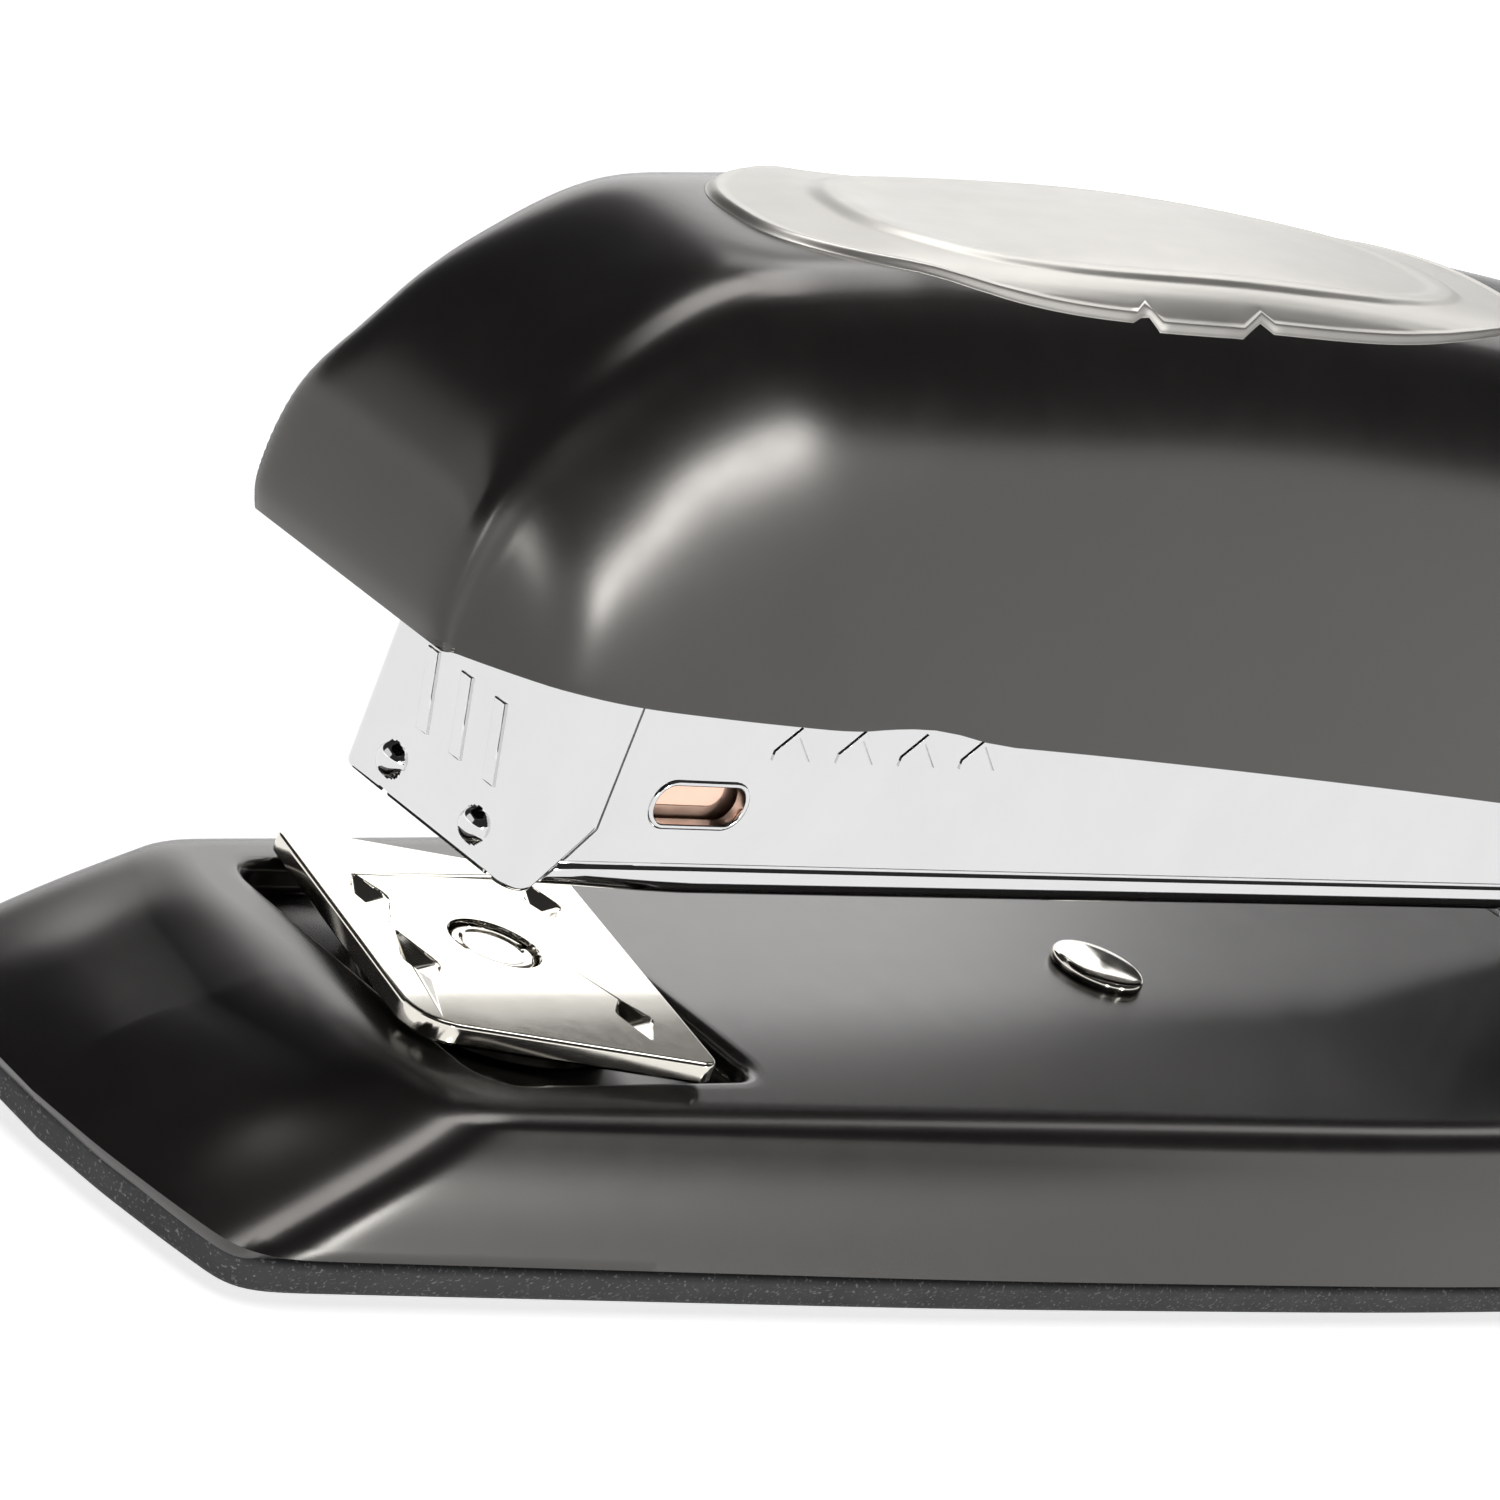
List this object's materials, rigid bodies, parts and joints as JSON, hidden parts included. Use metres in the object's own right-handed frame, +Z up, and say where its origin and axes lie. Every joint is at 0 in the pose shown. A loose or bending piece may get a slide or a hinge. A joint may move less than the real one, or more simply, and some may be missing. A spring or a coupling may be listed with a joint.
{
  "type": "stapler",
  "caption": "Full-strip desk stapler with a pressed-steel base and cap, chromed magazine, nose plate, turnable anvil and rubber base pad.",
  "frame": {"origin": "centre of the overall footprint, at the height of the rubber pad's underside", "axes": "+Z up, +X from the nose to the hinge, +Y across the stapler"},
  "size_m": [0.1903, 0.049, 0.065],
  "materials": {
    "cap_paint": "satin",
    "pad_rubber": "matt",
    "nickel": "bright nickel",
    "badge_nickel": "satin nickel",
    "chrome": "polished",
    "zinc_steel": "plated",
    "spring_steel": "bright",
    "copper": "copper plated"
  },
  "bodies": {
    "base": {"base_shell": "cap_paint", "base_pad": "pad_rubber", "base_rivet": "nickel", "anvil_leaf": "spring_steel", "hinge_bracket": "zinc_steel", "bracket_rivets": "zinc_steel", "hinge_pin": "zinc_steel", "lift_leaf": "spring_steel"},
    "anvil_stem": {"anvil_post": "nickel", "anvil_button": "nickel"},
    "anvil_plate": {"anvil": "nickel"},
    "magazine": {"magazine": "chrome", "nose_plate": "chrome", "inner_rail": "zinc_steel", "rear_block": "zinc_steel", "block_rivets": "zinc_steel", "guide_rod": "zinc_steel"},
    "follower": {"pusher": "copper", "pusher_spring": "spring_steel"},
    "cap": {"cap_shell": "cap_paint", "badge": "badge_nickel", "cap_frame": "zinc_steel", "driver_blade": "spring_steel", "driver_rivets": "zinc_steel", "cap_leaf": "spring_steel", "frame_posts": "zinc_steel"}
  },
  "joints": [
    {"name": "magazine_swing", "type": "hinge", "parent": "base", "child": "magazine", "pos_m": [0.08647, 0, 0.03312], "axis": [0, 1, 0], "range_deg": [-2.7, 90], "stiffness_Nm_per_rad": 3, "springref_deg": 3.44, "deforming": ["lift_leaf"]},
    {"name": "cap_lift", "type": "hinge", "parent": "magazine", "child": "cap", "pos_m": [0.08647, 0, 0.03312], "axis": [0, 1, 0], "range_deg": [-2.7, 85], "stiffness_Nm_per_rad": 2, "springref_deg": 2.86, "deforming": ["cap_leaf"]},
    {"name": "pusher_slide", "type": "slide", "parent": "magazine", "child": "follower", "axis": [0.9996, 0, 0.0279], "range_m": [0, 0.105], "stiffness_N_per_m": 20, "springref_m": -0.03, "deforming": ["pusher_spring"]},
    {"name": "anvil_lift", "type": "slide", "parent": "base", "child": "anvil_stem", "axis": [-0.0279, 0, 0.9996], "range_m": [0, 0.0025], "stiffness_N_per_m": 800, "springref_m": -0.001, "deforming": ["anvil_leaf"]},
    {"name": "anvil_turn", "type": "hinge", "parent": "anvil_stem", "child": "anvil_plate", "pos_m": [-0.06453, 0, 0.0129], "axis": [-0.0279, 0, 0.9996], "continuous": true}
  ]
}
